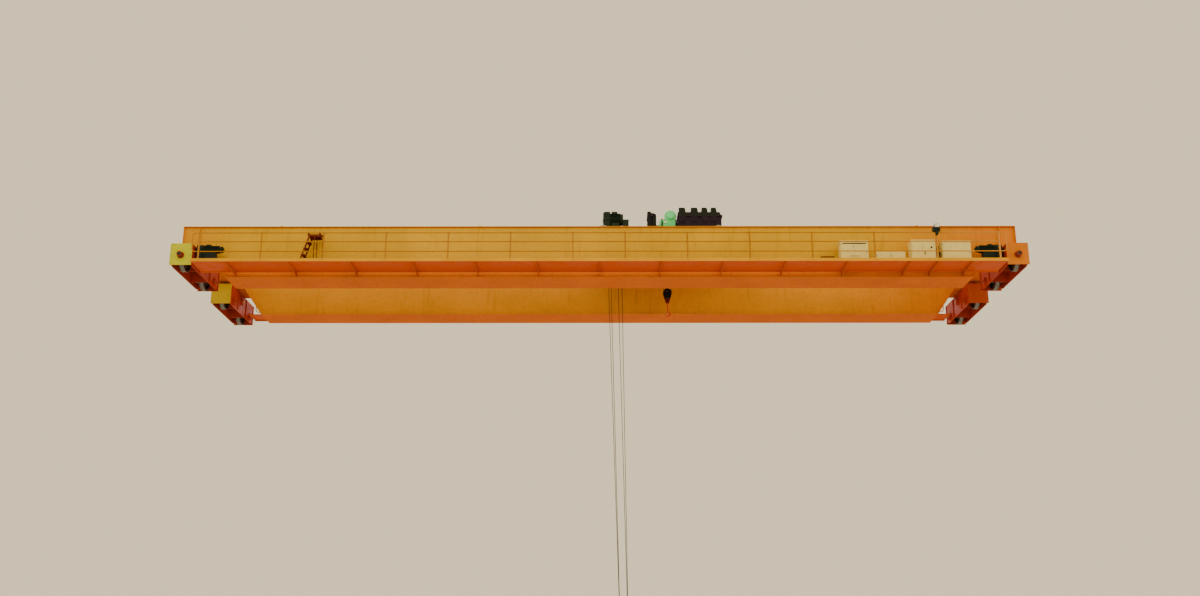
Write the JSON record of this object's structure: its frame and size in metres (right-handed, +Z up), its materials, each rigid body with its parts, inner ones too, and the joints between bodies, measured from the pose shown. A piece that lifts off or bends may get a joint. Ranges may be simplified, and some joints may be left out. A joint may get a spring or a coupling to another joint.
{
  "type": "double-girder overhead bridge crane",
  "caption": "Top-running bridge crane: box girders on wheel bogies, side walkways with handrails, and a hoist trolley with a main and an auxiliary hook.",
  "frame": {"origin": "middle of the span and of the two girders, at the height of the runway rail heads", "axes": "+X along the span to the right, +Y along the runway away from the cabinet side, +Z up"},
  "size_m": [29.35, 7.275, 15.3554],
  "materials": {
    "amber": "satin",
    "deep_amber": "satin",
    "red_oxide": "satin",
    "cream": "satin",
    "dark_machine": "satin",
    "light_green": "satin",
    "gear_case": "satin",
    "steel": "satin",
    "rail_steel": "satin",
    "hook_red": "satin",
    "black_metal": "satin"
  },
  "bodies": {
    "bridge": {"near_girder_webs": "amber", "near_girder_flanges": "deep_amber", "far_girder_webs": "amber", "far_girder_flanges": "deep_amber", "end_ties": "amber", "bogie_saddles": "amber", "trolley_rails": "rail_steel", "near_walkway": "amber", "far_walkway": "amber", "walkway_brackets": "red_oxide", "near_handrail": "amber", "far_handrail": "amber", "cabinets": "cream", "door_cabinet": "cream", "lamp": "dark_machine", "access_steps": "amber"},
    "left_door": {"cabinet_door_left": "cream"},
    "right_door": {"cabinet_door_right": "cream"},
    "bogie_left_near": {"bogie_left_near": "red_oxide", "drive_left": "dark_machine"},
    "bogie_left_far": {"bogie_left_far": "red_oxide"},
    "bogie_right_near": {"bogie_right_near": "red_oxide", "drive_right": "dark_machine"},
    "bogie_right_far": {"bogie_right_far": "red_oxide"},
    "wheel_left_1": {"wheel_left_1": "steel"},
    "wheel_left_2": {"wheel_left_2": "steel"},
    "wheel_left_3": {"wheel_left_3": "steel"},
    "wheel_left_4": {"wheel_left_4": "steel"},
    "wheel_right_1": {"wheel_right_1": "steel"},
    "wheel_right_2": {"wheel_right_2": "steel"},
    "wheel_right_3": {"wheel_right_3": "steel"},
    "wheel_right_4": {"wheel_right_4": "steel"},
    "trolley": {"trolley_frame": "amber", "trolley_drives": "dark_machine", "main_reducer": "gear_case", "main_motor": "light_green", "main_brake": "black_metal", "rope_supports": "red_oxide", "main_ropes": "steel", "aux_hoist": "light_green", "aux_ropes": "steel"},
    "trolley_wheels_left": {"trolley_wheels_left": "steel"},
    "trolley_wheels_right": {"trolley_wheels_right": "steel"},
    "main_block": {"main_block": "red_oxide"},
    "main_drum": {"main_drum": "steel"},
    "main_hook": {"main_hook": "hook_red"},
    "aux_block": {"aux_block": "black_metal"},
    "aux_drum": {"aux_drum": "steel"},
    "aux_hook": {"aux_hook": "hook_red"}
  },
  "joints": [
    {"name": "rock_left_near", "type": "hinge", "parent": "bridge", "child": "bogie_left_near", "pos_m": [-14.25, -2.015, 0.6], "axis": [1, 0, 0], "range_deg": [-1.5, 1.5]},
    {"name": "rock_left_far", "type": "hinge", "parent": "bridge", "child": "bogie_left_far", "pos_m": [-14.25, 2.015, 0.6], "axis": [1, 0, 0], "range_deg": [-1.5, 1.5]},
    {"name": "rock_right_near", "type": "hinge", "parent": "bridge", "child": "bogie_right_near", "pos_m": [14.25, -2.015, 0.6], "axis": [1, 0, 0], "range_deg": [-1.5, 1.5]},
    {"name": "rock_right_far", "type": "hinge", "parent": "bridge", "child": "bogie_right_far", "pos_m": [14.25, 2.015, 0.6], "axis": [1, 0, 0], "range_deg": [-1.5, 1.5]},
    {"name": "bridge_travel", "type": "hinge", "parent": "bogie_left_near", "child": "wheel_left_1", "pos_m": [-14.25, -2.965, 0.315], "axis": [1, 0, 0], "continuous": true},
    {"name": "wheel_left_2_turn", "type": "hinge", "parent": "bogie_left_near", "child": "wheel_left_2", "pos_m": [-14.25, -1.065, 0.315], "axis": [1, 0, 0], "continuous": true},
    {"name": "wheel_left_3_turn", "type": "hinge", "parent": "bogie_left_far", "child": "wheel_left_3", "pos_m": [-14.25, 1.065, 0.315], "axis": [1, 0, 0], "continuous": true},
    {"name": "wheel_left_4_turn", "type": "hinge", "parent": "bogie_left_far", "child": "wheel_left_4", "pos_m": [-14.25, 2.965, 0.315], "axis": [1, 0, 0], "continuous": true},
    {"name": "wheel_right_1_turn", "type": "hinge", "parent": "bogie_right_near", "child": "wheel_right_1", "pos_m": [14.25, -2.965, 0.315], "axis": [1, 0, 0], "continuous": true},
    {"name": "wheel_right_2_turn", "type": "hinge", "parent": "bogie_right_near", "child": "wheel_right_2", "pos_m": [14.25, -1.065, 0.315], "axis": [1, 0, 0], "continuous": true},
    {"name": "wheel_right_3_turn", "type": "hinge", "parent": "bogie_right_far", "child": "wheel_right_3", "pos_m": [14.25, 1.065, 0.315], "axis": [1, 0, 0], "continuous": true},
    {"name": "wheel_right_4_turn", "type": "hinge", "parent": "bogie_right_far", "child": "wheel_right_4", "pos_m": [14.25, 2.965, 0.315], "axis": [1, 0, 0], "continuous": true},
    {"name": "trolley_travel", "type": "slide", "parent": "bridge", "child": "trolley", "axis": [1, 0, 0], "range_m": [-13.14, 8.69]},
    {"name": "trolley_wheels_left_turn", "type": "hinge", "parent": "trolley", "child": "trolley_wheels_left", "pos_m": [0.15, 0, 2.0953], "axis": [0, 1, 0], "continuous": true},
    {"name": "trolley_wheels_right_turn", "type": "hinge", "parent": "trolley", "child": "trolley_wheels_right", "pos_m": [4.3, 0, 2.0953], "axis": [0, 1, 0], "continuous": true},
    {"name": "main_hoist", "type": "slide", "parent": "trolley", "child": "main_block", "axis": [0, 0, 1], "range_m": [0, 12.4], "deforming": ["main_ropes"]},
    {"name": "main_drum_turn", "type": "hinge", "parent": "trolley", "child": "main_drum", "pos_m": [0, -0.1, 2.5], "axis": [1, 0, 0], "continuous": true},
    {"name": "main_hook_swivel", "type": "hinge", "parent": "main_block", "child": "main_hook", "pos_m": [0.853, 0.4303, -11.78], "axis": [0, 0, 1], "continuous": true},
    {"name": "aux_hoist", "type": "slide", "parent": "trolley", "child": "aux_block", "axis": [0, 0, 1], "range_m": [-10.5, 0.6], "deforming": ["aux_ropes"]},
    {"name": "aux_drum_turn", "type": "hinge", "parent": "trolley", "child": "aux_drum", "pos_m": [0, 1.02, 2.46], "axis": [1, 0, 0], "continuous": true},
    {"name": "aux_hook_swivel", "type": "hinge", "parent": "aux_block", "child": "aux_hook", "pos_m": [2.57, 0.8457, 0.14], "axis": [0, 0, 1], "continuous": true},
    {"name": "left_door_swing", "type": "hinge", "parent": "bridge", "child": "left_door", "pos_m": [10.7595, -3.114, 0.6], "axis": [0, 0, 1], "range_deg": [-105, 0]},
    {"name": "right_door_swing", "type": "hinge", "parent": "bridge", "child": "right_door", "pos_m": [11.5245, -3.114, 0.6], "axis": [0, 0, 1], "range_deg": [0, 105]}
  ],
  "couplings": [
    {"joint": "wheel_left_2_turn", "follows": "bridge_travel", "ratio": 1},
    {"joint": "wheel_left_3_turn", "follows": "bridge_travel", "ratio": 1},
    {"joint": "wheel_left_4_turn", "follows": "bridge_travel", "ratio": 1},
    {"joint": "wheel_right_1_turn", "follows": "bridge_travel", "ratio": 1},
    {"joint": "wheel_right_2_turn", "follows": "bridge_travel", "ratio": 1},
    {"joint": "wheel_right_3_turn", "follows": "bridge_travel", "ratio": 1},
    {"joint": "wheel_right_4_turn", "follows": "bridge_travel", "ratio": 1},
    {"joint": "trolley_wheels_left_turn", "follows": "trolley_travel", "rad_per_m": 5.7143},
    {"joint": "trolley_wheels_right_turn", "follows": "trolley_travel", "rad_per_m": 5.7143},
    {"joint": "main_drum_turn", "follows": "main_hoist", "rad_per_m": 7.3801},
    {"joint": "aux_drum_turn", "follows": "aux_hoist", "rad_per_m": -11.475}
  ]
}
